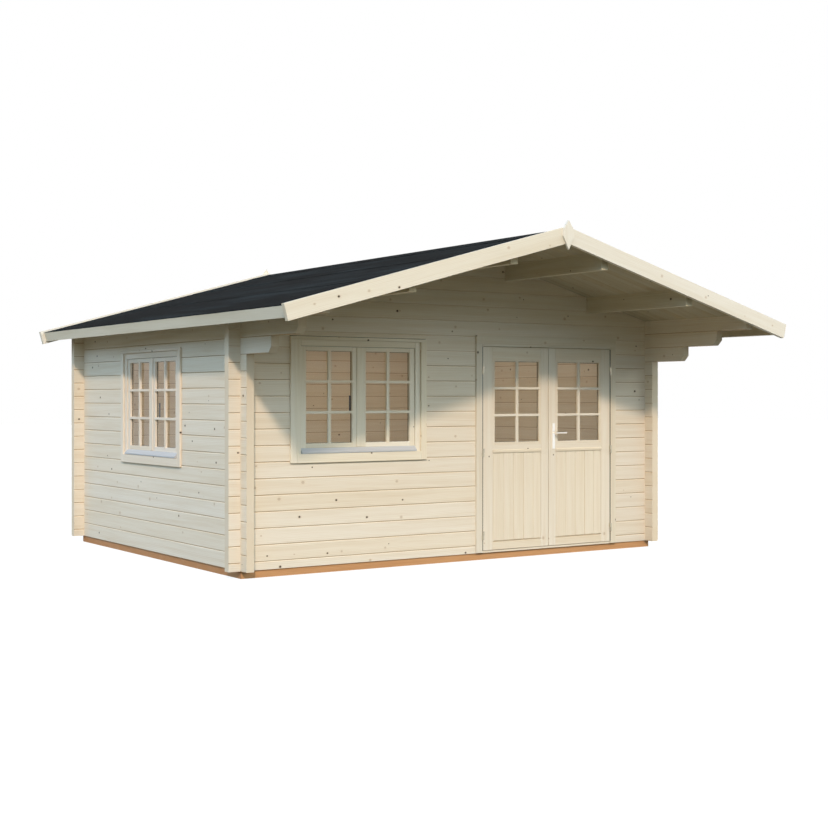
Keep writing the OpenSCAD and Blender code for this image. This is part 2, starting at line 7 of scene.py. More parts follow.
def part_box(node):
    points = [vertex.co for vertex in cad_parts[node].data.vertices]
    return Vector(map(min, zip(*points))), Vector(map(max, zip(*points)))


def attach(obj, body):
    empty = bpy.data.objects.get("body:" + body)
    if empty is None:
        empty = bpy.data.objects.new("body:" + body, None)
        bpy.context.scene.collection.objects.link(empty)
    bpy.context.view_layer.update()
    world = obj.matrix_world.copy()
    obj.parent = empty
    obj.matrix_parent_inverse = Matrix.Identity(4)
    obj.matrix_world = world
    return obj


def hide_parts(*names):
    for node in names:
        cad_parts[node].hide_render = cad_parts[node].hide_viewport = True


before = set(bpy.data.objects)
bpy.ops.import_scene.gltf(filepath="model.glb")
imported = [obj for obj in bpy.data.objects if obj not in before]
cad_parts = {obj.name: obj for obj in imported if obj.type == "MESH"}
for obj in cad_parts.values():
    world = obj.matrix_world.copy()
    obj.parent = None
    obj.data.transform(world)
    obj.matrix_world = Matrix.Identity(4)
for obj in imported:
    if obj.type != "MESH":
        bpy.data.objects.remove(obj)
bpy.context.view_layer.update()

# Foundation beams and floor joists.
# Sawn softwood, pressure-impregnated brown, laid flat on the ground under the walls and the floor.
# The spruce figure made here serves every wooden piece: rings, fibres, knots and end grain.


def set_inputs(tree, node, values):
    """Each input takes another node's socket or a plain value."""
    for socket, value in values.items():
        if isinstance(value, bpy.types.NodeSocket):
            tree.links.new(value, node.inputs[socket])
        else:
            node.inputs[socket].default_value = value


def finish_node(tree, kind, values=None, **settings):
    """A new shader node with its settings and inputs."""
    made = tree.nodes.new("ShaderNode" + kind)
    for name, value in settings.items():
        setattr(made, name, value)
    set_inputs(tree, made, values or {})
    return made


def reckon(tree, operation, *values):
    sums = finish_node(tree, "Math", dict(enumerate(values)), operation=operation)
    return sums.outputs[0]


def remap(tree, value, low, high, out_low=0.0, out_high=1.0):
    ranged = finish_node(tree, "MapRange", {0: value, 1: low, 2: high, 3: out_low, 4: out_high},
                         interpolation_type="SMOOTHSTEP")
    return ranged.outputs[0]


def blend_colour(tree, share, first, second, how="MIX"):
    mixed = finish_node(tree, "Mix", {0: share, 6: first, 7: second},
                        data_type="RGBA", blend_type=how)
    return mixed.outputs[2]


def drawn_noise(tree, place, finer, scale, detail, roughness=0.5):
    """Noise that is finer along some axes than along others."""
    drawn = finish_node(tree, "VectorMath", {0: place, 1: finer}, operation="MULTIPLY")
    return finish_node(tree, "TexNoise", {
        "Vector": drawn.outputs[0], "Scale": scale, "Detail": detail, "Roughness": roughness}).outputs["Fac"]


def paint(r, g, b):
    """A colour read off the object as 0 to 255, as the shaders take it."""
    parts = [c / 255 for c in (r, g, b)]
    return [c / 12.92 if c <= 0.04045 else ((c + 0.055) / 1.055) ** 2.4 for c in parts] + [1.0]


def spruce_figure():
    """Grain is in metres: along the board, across it from its middle, and through it."""
    tree = bpy.data.node_groups.new("spruce_figure", "ShaderNodeTree")
    for name, kind in (("Grain", "Vector"), ("Board", "Float"), ("End", "Float"), ("Knotty", "Float"),
                       ("Uneven", "Float"), ("Light", "Color"), ("Dark", "Color")):
        tree.interface.new_socket(name, in_out="INPUT", socket_type="NodeSocket" + kind)
    for name, kind in (("Color", "Color"), ("Height", "Float"), ("Roughness", "Float")):
        tree.interface.new_socket(name, in_out="OUTPUT", socket_type="NodeSocket" + kind)
    given = tree.nodes.new("NodeGroupInput").outputs
    parts = finish_node(tree, "SeparateXYZ", {0: given["Grain"]}).outputs
    board = finish_node(tree, "TexWhiteNoise", {"W": given["Board"]}, noise_dimensions="1D")
    tones = finish_node(tree, "SeparateColor", {0: board.outputs["Color"]}).outputs
    along = reckon(tree, "ADD", parts[0], reckon(tree, "MULTIPLY", board.outputs["Value"], 61.0))
    knot_spread = 0.085
    end_rings_per_metre = 210.0

    def knots(cell, share, seed, reach):
        """At most one knot to each cell of a board's length. Gives the distance from it, in its radii,
        and how far the rings bend round it."""
        place = reckon(tree, "DIVIDE", reckon(tree, "ADD", along, seed), cell)
        number = reckon(tree, "FLOOR", place)
        here = finish_node(tree, "CombineXYZ", {0: number, 1: given["Board"], 2: seed})
        dice = finish_node(tree, "TexWhiteNoise", {"Vector": here.outputs[0]},
                           noise_dimensions="3D")
        rolls = finish_node(tree, "SeparateColor", {0: dice.outputs["Color"]}).outputs
        off_along = reckon(tree, "MULTIPLY", cell, reckon(
            tree, "SUBTRACT", reckon(tree, "SUBTRACT", place, number),
            remap(tree, rolls[0], 0, 1, 0.25, 0.75)))
        off_across = reckon(tree, "SUBTRACT", parts[1], reckon(
            tree, "MULTIPLY", reckon(tree, "SUBTRACT", rolls[1], 0.5), knot_spread))
        there = reckon(tree, "LESS_THAN", dice.outputs["Value"],
                       reckon(tree, "MULTIPLY", given["Knotty"], share))
        radius = reckon(tree, "MULTIPLY_ADD", rolls[2], reach, reach * 0.55)
        away = reckon(tree, "SQRT", reckon(tree, "ADD", reckon(tree, "POWER", reckon(
            tree, "MULTIPLY", off_along, 0.85), 2.0), reckon(tree, "POWER", off_across, 2.0)))
        near = reckon(tree, "MULTIPLY", there, reckon(tree, "EXPONENT", reckon(
            tree, "MULTIPLY", reckon(tree, "POWER", reckon(tree, "DIVIDE", away, radius), 2.0), -0.16)))
        distance = reckon(tree, "ADD", reckon(tree, "DIVIDE", away, radius),
                          reckon(tree, "MULTIPLY", reckon(tree, "SUBTRACT", 1.0, there), 99.0))
        return distance, reckon(tree, "MULTIPLY", reckon(tree, "MULTIPLY", off_across, near), -0.8)

    dark_knot, dark_lift = knots(cell=0.62, share=0.36, seed=3.7, reach=0.0062)
    pale_knot, pale_lift = knots(cell=0.47, share=0.4, seed=17.3, reach=0.0085)
    across = reckon(tree, "ADD", parts[1], reckon(tree, "ADD", dark_lift, pale_lift))
    sway_at = finish_node(tree, "CombineXYZ", {0: along, 1: given["Board"], 2: 0.0})
    sway = finish_node(tree, "TexNoise", {
        "Vector": sway_at.outputs[0], "Scale": 0.9, "Detail": 1.0})
    swayed = reckon(tree, "MULTIPLY_ADD", reckon(tree, "SUBTRACT", sway.outputs["Fac"], 0.5), 0.05, across)
    heart = reckon(tree, "MULTIPLY", reckon(tree, "SUBTRACT", tones[1], 0.5), 0.10)
    from_heart = reckon(tree, "ABSOLUTE", reckon(tree, "SUBTRACT", swayed, heart))
    stretched = finish_node(tree, "CombineXYZ", {
        0: reckon(tree, "MULTIPLY", along, 0.05), 1: reckon(tree, "POWER", from_heart, 0.7), 2: parts[2]})
    rings = finish_node(tree, "TexWave", {
        "Vector": stretched.outputs[0], "Scale": 13.0, "Distortion": 3.0, "Detail": 2.0, "Detail Scale": 1.6},
        wave_type="BANDS", bands_direction="Y", wave_profile="SAW")
    late_wood = remap(tree, rings.outputs["Fac"], 0.45, 1.0)
    fibre_place = finish_node(tree, "CombineXYZ", {0: along, 1: swayed, 2: parts[2]}).outputs[0]
    fibres = drawn_noise(tree, fibre_place, (3.0, 170.0, 170.0), 1.0, 3.0, 0.6)
    streaks = drawn_noise(tree, fibre_place, (0.8, 22.0, 9.0), 1.0, 2.0)
    end_at = finish_node(tree, "CombineXYZ", {
        0: reckon(tree, "ADD", parts[1], heart),
        1: reckon(tree, "ADD", parts[2], reckon(tree, "MULTIPLY", tones[2], 0.09)),
        2: given["Board"]}).outputs[0]
    end_warp = finish_node(tree, "TexNoise", {"Vector": end_at, "Scale": 9.0, "Detail": 2.0})
    end_flat = finish_node(tree, "VectorMath", {0: end_at, 1: (1.0, 1.0, 0.0)}, operation="MULTIPLY")
    end_radius = finish_node(tree, "VectorMath", {0: end_flat.outputs[0]}, operation="LENGTH")
    end_rings = reckon(tree, "ADD", end_radius.outputs["Value"],
                       reckon(tree, "MULTIPLY", end_warp.outputs["Fac"], 0.02))
    end_lines = reckon(tree, "FRACT", reckon(tree, "MULTIPLY", end_rings, end_rings_per_metre))
    figure = reckon(tree, "ADD", reckon(tree, "MULTIPLY", late_wood, 0.26), reckon(
        tree, "ADD", remap(tree, streaks, 0.38, 0.72, 0.0, 0.26), remap(tree, fibres, 0.4, 0.75, 0.0, 0.22)))
    colour = blend_colour(tree, figure, given["Light"], given["Dark"])
    end_tone = reckon(tree, "MULTIPLY_ADD", end_lines, 0.4, 0.38)
    end_colour = blend_colour(tree, end_tone, given["Light"], given["Dark"])
    colour = blend_colour(tree, given["End"], colour, end_colour)
    tint = blend_colour(tree, board.outputs["Value"], (0.955, 0.95, 0.94, 1), (1.02, 1.02, 1.025, 1))
    warmth = blend_colour(tree, tones[0], (1.02, 0.995, 0.96, 1), (0.99, 1.0, 1.03, 1))
    board_tone = blend_colour(tree, 1.0, tint, warmth, "MULTIPLY")
    colour = blend_colour(tree, given["Uneven"], colour, board_tone, "MULTIPLY")
    flat = reckon(tree, "SUBTRACT", 1.0, given["End"])

    def knot_mark(distance, rim, colour_before, core, strength):
        halo = reckon(tree, "MULTIPLY", remap(tree, distance, 1.0, 2.2, 0.5, 0.0), flat)
        halo = reckon(tree, "MULTIPLY", halo, strength)
        haloed = blend_colour(tree, halo, colour_before, rim, "MULTIPLY")
        inside = reckon(tree, "MULTIPLY", remap(tree, distance, 0.8, 1.12, strength, 0.0), flat)
        return blend_colour(tree, inside, haloed, core)

    colour = knot_mark(pale_knot, (0.90, 0.80, 0.66, 1), colour, paint(176, 148, 116), 0.42)
    colour = knot_mark(dark_knot, (0.80, 0.70, 0.58, 1), colour, paint(62, 46, 34), 0.95)
    height = reckon(tree, "ADD", reckon(tree, "MULTIPLY", late_wood, 0.25),
                    reckon(tree, "MULTIPLY", fibres, 0.6))
    height = reckon(tree, "SUBTRACT", height, remap(tree, dark_knot, 0.9, 1.15, 0.7, 0.0))
    set_inputs(tree, tree.nodes.new("NodeGroupOutput"), {
        "Color": colour, "Height": height, "Roughness": remap(tree, streaks, 0.3, 0.7, 0.52, 0.7)})
    return tree


figure_tree = spruce_figure()
# Painted light at log joints: a painted shade line in the joint and a painted highlight on the edge below it.
joint_shade = (0.56, 0.44, 0.30, 1)
joint_highlight = (1.13, 1.13, 1.13, 1)


def bumped(tree, height, strength, distance):
    """The normal of a surface that is raised by height, as far as distance."""
    values = {"Height": height, "Strength": strength, "Distance": distance}
    return finish_node(tree, "Bump", values).outputs[0]


def new_finish(name):
    """A material with its node tree and its shader."""
    material = bpy.data.materials.new(name)
    material.use_nodes = True
    return material, material.node_tree, material.node_tree.nodes["Principled BSDF"]


def wood_finish(name, light, dark, grain, board, end, knotty=1.0, bump=0.35, seam=None, uneven=1.0):
    """A wooden finish. grain, board and end are functions of the tree that give the figure's own inputs.
    seam gives the shares of a joint's painted shade line and of its painted highlight edge. uneven is how
    much boards differ."""
    material, tree, shader = new_finish(name)
    figure = finish_node(tree, "Group", {
        "Grain": grain(tree), "Board": board(tree), "End": end(tree), "Knotty": knotty, "Uneven": uneven,
        "Light": light, "Dark": dark}, node_tree=figure_tree).outputs
    colour = figure["Color"]
    if seam:
        shade_line, highlight_line = seam(tree)
        colour = blend_colour(tree, shade_line, colour, joint_shade, "MULTIPLY")
        colour = blend_colour(tree, highlight_line, colour, joint_highlight, "MULTIPLY")
    set_inputs(tree, shader, {
        "Base Color": colour, "Roughness": figure["Roughness"], "Specular IOR Level": 0.3,
        "Normal": bumped(tree, figure["Height"], bump, 0.0012)})
    return material


def own_axes(tree, measure):
    """A piece's own place or normal, so that its finish moves with it."""
    return finish_node(tree, "TexCoord").outputs[measure]


def own_place(tree):
    return finish_node(tree, "SeparateXYZ", {0: own_axes(tree, "Object")}).outputs


def faces_along(tree, axis):
    """1 on the sawn ends, whose faces look along the grain."""
    facing = finish_node(tree, "SeparateXYZ", {0: own_axes(tree, "Normal")}).outputs[axis]
    return reckon(tree, "GREATER_THAN", reckon(tree, "ABSOLUTE", facing), 0.7)


def course_wood(name, light, dark, axis, first, height, seed, knotty=1.0, bump=0.35, gap=0.0, uneven=1.0):
    """Wood in level courses: the grain runs along one axis, and each course is a log or beam of its own.
    gap is the width of the painted shade line where two courses meet. The lower one's edge gets a painted
    highlight."""
    other = 1 - axis
    # gap_below and pale place the painted shade line and the start of the painted highlight below each joint.
    gap_below = gap * 0.42
    pale = height - gap * 1.2

    def course(tree):
        return reckon(tree, "FLOOR", reckon(tree, "DIVIDE", reckon(
            tree, "SUBTRACT", own_place(tree)[2], first), height))

    def grain(tree):
        middle = reckon(tree, "MULTIPLY_ADD", course(tree), height, first + height / 2)
        across = reckon(tree, "SUBTRACT", own_place(tree)[2], middle)
        return finish_node(tree, "CombineXYZ", {
            0: own_place(tree)[axis], 1: across, 2: own_place(tree)[other]}).outputs[0]

    # Shares of the painted shade line at each joint and of the painted highlight on the lower course's edge,
    # none on the sawn ends.
    def seam(tree):
        rise = reckon(tree, "FLOORED_MODULO", reckon(
            tree, "SUBTRACT", own_place(tree)[2], first - gap_below), height)
        flank = reckon(tree, "SUBTRACT", 1.0, faces_along(tree, axis))
        return [reckon(tree, "MULTIPLY", line, flank) for line in (
            remap(tree, rise, gap * 0.7, gap, 1.0, 0.0), remap(tree, rise, pale, pale + 0.001))]

    return wood_finish(name, light, dark, grain, lambda tree: reckon(tree, "ADD", course(tree), seed),
                       lambda tree: faces_along(tree, axis), knotty, bump, seam if gap else None, uneven)


def put_in(name, data):
    """A new object in the scene."""
    made = bpy.data.objects.new(name, data)
    bpy.context.scene.collection.objects.link(made)
    return made


def refinish(node, material):
    """Gives a carried-over node its finish."""
    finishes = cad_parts[node].data.materials
    finishes.clear()
    finishes.append(material)


impregnated_light = paint(208, 158, 110)
impregnated_dark = paint(172, 118, 74)
beam_low, beam_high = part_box("foundation_beams")
beam_h = beam_high.z - beam_low.z
refinish("foundation_beams", course_wood(
    "beam_wood", impregnated_light, impregnated_dark, 0, beam_low.z, beam_h, 900.0, 0.5, 0.6))
refinish("floor_joists", course_wood(
    "joist_wood", impregnated_light, impregnated_dark, 1, beam_low.z, beam_h, 910.0, 0.5, 0.6))

# Floor boards.
# Tongued and grooved spruce boards, laid across the joists from side to side and nailed down.
# Each board has small chamfers, so that the joints show as fine lines.
spruce_light = paint(236, 225, 205)
spruce_dark = paint(218, 196, 164)
floor_board_w = 0.0865
floor_chamfer = 0.0015


class PlankStack:
    """Chamfered boards gathered into one mesh, with the grain's own measures kept at each corner."""
    box_corners = [(x, y, z) for x in (-1, 1) for y in (-1, 1) for z in (-1, 1)]
    box_faces = 6 + 12 + 8

    def __init__(self):
        self.points, self.faces, self.grain, self.boards, self.ends = [], [], [], [], []
        self.count = 0

    def add(self, low, high, along, across, chamfer=0.002, place=None):
        """along and across are axes, 0 to 2. place moves the finished board."""
        low, high = Vector(low), Vector(high)
        middle = (low + high) / 2
        half = (high - low) / 2
        deep = 3 - along - across
        number = {}
        for signs in self.box_corners:
            for face in range(3):
                point = Vector([signs[i] * (half[i] - (0 if i == face else chamfer)) for i in range(3)])
                number[signs, face] = len(self.points)
                self.grain.append((point[along] + middle[along], point[across], point[deep]))
                self.points.append(place @ (middle + point) if place else middle + point)
                self.boards.append(float(self.count))
        for face in range(3):
            one, two = [i for i in range(3) if i != face]
            for side in (-1, 1):
                ring = []
                for a, b in ((-1, -1), (1, -1), (1, 1), (-1, 1)):
                    signs = [0, 0, 0]
                    signs[face], signs[one], signs[two] = side, a, b
                    ring.append(number[tuple(signs), face])
                self.close(ring, face == along)
        for edge in range(3):
            one, two = [i for i in range(3) if i != edge]
            for a in (-1, 1):
                for b in (-1, 1):
                    ring = []
                    for face, end in ((one, -1), (one, 1), (two, 1), (two, -1)):
                        signs = [0, 0, 0]
                        signs[edge], signs[one], signs[two] = end, a, b
                        ring.append(number[tuple(signs), face])
                    self.close(ring, False)
        for signs in self.box_corners:
            self.close([number[signs, face] for face in range(3)], False)
        self.outward(self.box_faces, place @ middle if place else middle)
        self.count += 1

    def mould(self, outline, start, end, place):
        """A board of any section. outline has (across, deep) points, and place turns (along, across, deep)
        into the piece's own axes."""
        first = len(self.points)
        corners = len(outline)
        for along in (start, end):
            for across, deep in outline:
                self.points.append(place @ Vector((along, across, deep)))
                self.grain.append((along, across, deep))
                self.boards.append(float(self.count))
        last = first + corners
        for i in range(corners):
            j = (i + 1) % corners
            self.close([first + i, first + j, last + j, last + i], False)
        self.close([first + i for i in range(corners)], True)
        self.close([last + i for i in range(corners)], True)
        middle = sum(self.points[first:], Vector()) / (2 * corners)
        self.outward(corners + 2, middle)
        self.count += 1

    def close(self, ring, end):
        self.faces.append(ring)
        self.ends.append(1.0 if end else 0.0)

    def outward(self, new_faces, middle):
        for index in range(len(self.faces) - new_faces, len(self.faces)):
            a, b, c = [self.points[i] for i in self.faces[index][:3]]
            if (b - a).cross(c - b).dot(a - middle) < 0:
                self.faces[index].reverse()

    def piece(self, name, material, body, slot, replaced=(), matrix=None):
        mesh = bpy.data.meshes.new(name)
        mesh.from_pydata(self.points, [], self.faces)
        mesh.materials.append(material)
        mesh.attributes.new("grain", "FLOAT_VECTOR", "POINT").data.foreach_set(
            "vector", [c for measures in self.grain for c in measures])
        mesh.attributes.new("board", "FLOAT", "POINT").data.foreach_set("value", self.boards)
        mesh.attributes.new("sawn_end", "FLOAT", "FACE").data.foreach_set("value", self.ends)
        made = put_in(name, mesh)
        if matrix is not None:
            made.matrix_world = matrix
        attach(made, body)
        if replaced:
            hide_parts(*replaced)


def kept(tree, name, output="Fac"):
    return finish_node(tree, "Attribute", attribute_name=name).outputs[output]


def board_wood(name, light, dark, seed, knotty=1.0, bump=0.35, uneven=1.0):
    """Wood for boards of a PlankStack, each with its own figure."""
    return wood_finish(name, light, dark, lambda tree: kept(tree, "grain", "Vector"),
                       lambda tree: reckon(tree, "ADD", kept(tree, "board"), seed),
                       lambda tree: kept(tree, "sawn_end"), knotty, bump, None, uneven)


floor_low, floor_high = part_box("floor_boards")
floor = PlankStack()
rows = round((floor_high.y - floor_low.y) / floor_board_w)
step = (floor_high.y - floor_low.y) / rows
for row in range(rows):
    y = floor_low.y + row * step
    floor.add((floor_low.x, y, floor_low.z), (floor_high.x, y + step, floor_high.z), 0, 1, floor_chamfer)
floor.piece("floor_planks", board_wood("floor_spruce", spruce_light, spruce_dark, 300.0), "root", "spruce",
            ["floor_boards"])

# Log walls and gables.
# Planed spruce logs, 70 mm thick, stacked on tongues, with a V groove at each joint.
# Their notched ends cross at the corners and show sawn end grain.
log_h = 0.134
log_t = 0.070
log_gap = 0.006
front_joint = 0.130
side_joint = 0.197
# The gable, under the canopy, gets a thinner painted shade line at its joints.
gable_gap = log_gap / 3
log_tones = (paint(238, 227, 208), paint(217, 196, 164))
# The front wall right of the door gets a darker copy of the logs' tones, painted shade.
door_side_shaded_tones = (paint(232, 221, 203), paint(211, 190, 159))
for wall, tones, axis, first, seed, gap in (
        ("front_wall_left", log_tones, 0, front_joint, 0.0, log_gap),
        ("front_wall_right", door_side_shaded_tones, 0, front_joint, 0.0, log_gap),
        ("front_gable", log_tones, 0, front_joint, 0.0, gable_gap),
        ("back_wall", log_tones, 0, front_joint, 100.0, log_gap),
        ("back_gable", log_tones, 0, front_joint, 100.0, log_gap),
        ("left_wall", log_tones, 1, side_joint, 200.0, log_gap),
        ("right_wall", log_tones, 1, side_joint, 400.0, log_gap)):
    refinish(wall, course_wood(wall + "_logs", *tones, axis, first - log_h, log_h, seed, gap=gap, uneven=0.6))

# Purlins.
# Four spruce beams that carry the roof boards and stop a little short of the barge boards.
# They lie in pockets in the two gables, and their front ends show under the canopy.
# The purlins get a darker copy of the spruce's tones, painted shade under the canopy.
shaded_purlin_light = paint(217, 207, 182)
shaded_purlin_dark = paint(190, 172, 134)
purlin_low, purlin_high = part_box("left_purlins")
purlin_step = (purlin_high.z - purlin_low.z) / 2
for side, seed in (("left", 500.0), ("right", 510.0)):
    refinish(side + "_purlins", course_wood(
        side + "_purlin_wood", shaded_purlin_light, shaded_purlin_dark, 1, purlin_low.z, purlin_step, seed, 0.7))

# Roof boards.
# Thin tongued and grooved spruce, nailed across the purlins from ridge to eave.
# Their lower edges are chamfered, so the canopy's underside shows a line at each joint.
roof_slope = math.atan(0.272)
roof_t = 0.019
roof_board_w = 0.096
roof_chamfer = 0.0022
# The roof boards get a darker copy of the spruce's tones, painted shade on the canopy's underside.
shaded_roof_light = paint(197, 188, 163)
shaded_roof_dark = paint(170, 152, 116)


def slope_place(side, ridge_z):
    """Turns (down the slope, along the ridge, up off the slope) into the cabin's axes."""
    cos, sin = math.cos(roof_slope), math.sin(roof_slope)
    return Matrix(((side * cos, 0, side * sin, 0), (0, 1, 0, 0), (-sin, 0, cos, ridge_z), (0, 0, 0, 1)))


for side, name, seed in ((-1, "left", 520.0), (1, "right", 620.0)):
    low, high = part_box(name + "_roof_boards")
    ridge_z = high.z - roof_t / math.cos(roof_slope)
    reach = (high.x - low.x - roof_t * math.sin(roof_slope)) / math.cos(roof_slope)
    shortened = roof_t * math.tan(roof_slope)
    boards = PlankStack()
    rows = round((high.y - low.y) / roof_board_w)
    step = (high.y - low.y) / rows
    for row in range(rows):
        y = low.y + row * step
        boards.add((shortened, y, 0), (reach, y + step, roof_t), 0, 1, roof_chamfer,
                   place=slope_place(side, ridge_z))
    boards.piece(name + "_roof_planks", board_wood(name + "_roof_spruce", shaded_roof_light, shaded_roof_dark, seed),
                 "root", "spruce", [name + "_roof_boards"])

# Roof felt.
# Mineral felt from the roll, laid along the eaves in courses that overlap, with a strip over the ridge.
# It is nearly black, its lapped edges stand up a little, and it lies thicker toward the ridge.
felt_t = 0.004
felt_courses = 3
felt_lap = 0.09
lap_step = 0.0018
felt_bed = 0.0005
ridge_rise = 0.0115
ridge_play = 0.002
ridge_strip_w = 0.24
ridge_strip_sunk = 0.002
ridge_strip_meet = 0.001
felt_colour = paint(7, 12, 16)
felt_worn = paint(29, 39, 44)


def felt_finish():
    material, tree, shader = new_finish("mineral_felt")
    place = own_axes(tree, "Object")
    rolled = drawn_noise(tree, place, (3.0, 0.35, 3.0), 2.4, 4.0, 0.6)
    patches = drawn_noise(tree, place, (1.0, 0.6, 1.0), 1.1, 3.0)
    granules = drawn_noise(tree, place, (1.0, 1.0, 1.0), 420.0, 1.0)
    worn = reckon(tree, "ADD", remap(tree, rolled, 0.42, 0.66, -0.05, 0.5),
                  remap(tree, patches, 0.42, 0.7, -0.05, 0.3))
    worn = reckon(tree, "ADD", worn, remap(tree, granules, 0.45, 0.8, -0.12, 0.25))
    set_inputs(tree, shader, {
        "Base Color": blend_colour(tree, worn, felt_colour, felt_worn), "Specular IOR Level": 0.03,
        "Roughness": remap(tree, granules, 0.3, 0.7, 0.75, 0.95),
        "Normal": bumped(tree, granules, 0.5, 0.0015)})
    return material


felt_material = felt_finish()


def felt_sheet(name, outline, y0, y1, place, replaced):
    """Felt whose section is a list of (down the slope, up off it) points. It runs along the ridge and is a
    little uneven, but for its ends and where it is held at the ridge."""
    spans = 60
    held = 0.01
    points, faces = [], []
    for row in range(spans + 1):
        y = y0 + (y1 - y0) * row / spans
        for i, (down, up) in enumerate(outline):
            ripple = 0.0006 * math.sin(9.1 * y + 4.0 * down) + 0.0005 * math.sin(23.0 * y - 7.0 * down)
            loose = 0 < row < spans and down > held
            points.append(place @ Vector((down, y, up + (ripple if loose else 0))))
    corners = len(outline)
    for row in range(spans):
        for i in range(corners):
            j = (i + 1) % corners
            near, far = row * corners, (row + 1) * corners
            faces.append((near + i, near + j, far + j, far + i))
    faces.append(tuple(range(corners))[::-1])
    faces.append(tuple(spans * corners + i for i in range(corners)))
    mesh = bpy.data.meshes.new(name)
    mesh.from_pydata(points, [], faces)
    mesh.materials.append(felt_material)
    sheet = put_in(name, mesh)
    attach(sheet, "root")
    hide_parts(replaced)


for side, name in ((-1, "left"), (1, "right")):
    low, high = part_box(name + "_roof_felt")
    place = slope_place(side, high.z - felt_t / math.cos(roof_slope))
    reach = (high.x - low.x) / math.cos(roof_slope)
    course_w = (reach + (felt_courses - 1) * felt_lap) / felt_courses
    for course in range(felt_courses):
        foot = reach - course * (course_w - felt_lap)
        top = max(foot - course_w, ridge_play)
        lap = foot - felt_lap
        lifted = 0.0 if course == 0 else lap_step
        crown = [felt_t + ridge_rise * (1 - down / reach) for down in (foot, lap, top)]
        outline = [(top, felt_bed), (lap, felt_bed), (foot, felt_bed + lifted),
                   (foot, crown[0] + lifted), (lap, crown[1] + lifted * 0.2), (top, crown[2])]
        felt_sheet(name + "_felt_course_" + str(course + 1), outline, low.y, high.y, place,
                   name + "_roof_felt")
low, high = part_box("left_roof_felt")
ridge_strip = [(0.0, -ridge_strip_sunk), (ridge_strip_w, -ridge_strip_sunk),
               (ridge_strip_w, lap_step), (-ridge_strip_meet, lap_step)]
for side, name in ((-1, "left"), (1, "right")):
    felt_sheet(name + "_felt_ridge", ridge_strip, low.y, high.y, slope_place(side, high.z + ridge_rise),
               "left_roof_felt")

# Barge boards and finials.
# Planed spruce boards nailed to the roof's ends, cut square at the eaves. They rise a little more
# toward the ridge than the roof boards do. A pointed board covers the joint of each pair there.
barge_w = 0.128
barge_rise = 0.0135
left_foot_rise = 0.0085
trim_light = paint(236, 228, 211)
trim_dark = paint(216, 200, 172)
# The back end's boards and finial get a paler copy of the trim's tones, a painted highlight along the roof's
# far edge.
highlit_back_trim_light = paint(241, 235, 222)
highlit_back_trim_dark = paint(226, 214, 192)
front_to_back = Matrix(((0, 1, 0, 0), (1, 0, 0, 0), (0, 0, 1, 0), (0, 0, 0, 1)))


def sloping_wood(name, light, dark, side, middle_z, seed):
    """Wood whose grain follows the roof's slope."""
    def grain(tree):
        place = own_place(tree)
        cos, sin = math.cos(roof_slope), math.sin(roof_slope)
        along = reckon(tree, "SUBTRACT", reckon(tree, "MULTIPLY", place[0], side * cos),
                       reckon(tree, "MULTIPLY", place[2], sin))
        across = reckon(tree, "ADD", reckon(tree, "MULTIPLY", place[0], side * sin),
                        reckon(tree, "MULTIPLY", reckon(tree, "SUBTRACT", place[2], middle_z), cos))
        return finish_node(tree, "CombineXYZ", {0: along, 1: across, 2: place[1]}).outputs[0]

    return wood_finish(name, light, dark, grain, lambda tree: seed, lambda tree: faces_along(tree, 0), 1.8)


def upright_wood(name, light, dark, middle, seed, knotty=0.5):
    """Wood whose grain stands upright."""
    def grain(tree):
        place = own_place(tree)
        across = reckon(tree, "SUBTRACT", place[0], middle)
        return finish_node(tree, "CombineXYZ", {0: place[2], 1: across, 2: place[1]}).outputs[0]

    return wood_finish(name, light, dark, grain, lambda tree: seed, lambda tree: faces_along(tree, 2), knotty)


for end, light, dark, seed in (("front", trim_light, trim_dark, 700.0),
                               ("back", highlit_back_trim_light, highlit_back_trim_dark, 710.0)):
    for side, name in ((-1, "left"), (1, "right")):
        board = end + "_" + name + "_barge_board"
        low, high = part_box(board)
        middle_z = high.z - barge_w / 2 / math.cos(roof_slope)
        eave_x = low.x if side < 0 else high.x
        eave_z = low.z + barge_w * math.cos(roof_slope)
        peak = high.z + barge_rise
        slope = (peak - eave_z) / abs(eave_x)
        thin = barge_w / math.hypot(1, slope)
        foot = high.z + (left_foot_rise if side < 0 else barge_rise) - thin * (1 + slope * slope)
        plank = PlankStack()
        plank.mould([(0, peak), (eave_x, eave_z), (eave_x - side * slope * thin, eave_z - thin), (0, foot)],
                    low.y, high.y, front_to_back)
        plank.piece(board + "_plank", sloping_wood(board + "_wood", light, dark, side, middle_z, seed + side),
                    "root", "spruce", [board])
    refinish(end + "_finial", upright_wood(end + "_finial_wood", light, dark, 0.0, seed + 20, 0.0))

# Eave fascias.
# One planed spruce board along each eave, square to the roof's slope. It is nailed to the ends of
# the roof boards, under the felt's edge.
fascia_light = paint(228, 221, 203)
fascia_dark = paint(208, 194, 166)
fascia_t = 0.020
fascia_rise = 0.006
fascia_wood = board_wood("fascia_spruce", fascia_light, fascia_dark, 730.0, 1.4)
for side, name in ((-1, "left_fascia"), (1, "right_fascia")):
    low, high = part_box(name)
    cos, sin = math.cos(roof_slope), math.sin(roof_slope)
    outer = Vector((low.x if side < 0 else high.x, high.z - fascia_t * sin))
    inner = Vector((outer.x - side * fascia_t * cos, high.z))
    width = (outer.y - low.z) / cos - fascia_rise
    foot = Vector((side * sin, cos)) * width
    plank = PlankStack()
    plank.mould([outer, inner, inner - foot, outer - foot], low.y, high.y, front_to_back)
    plank.piece(name + "_plank", fascia_wood, "root", "spruce", [name])

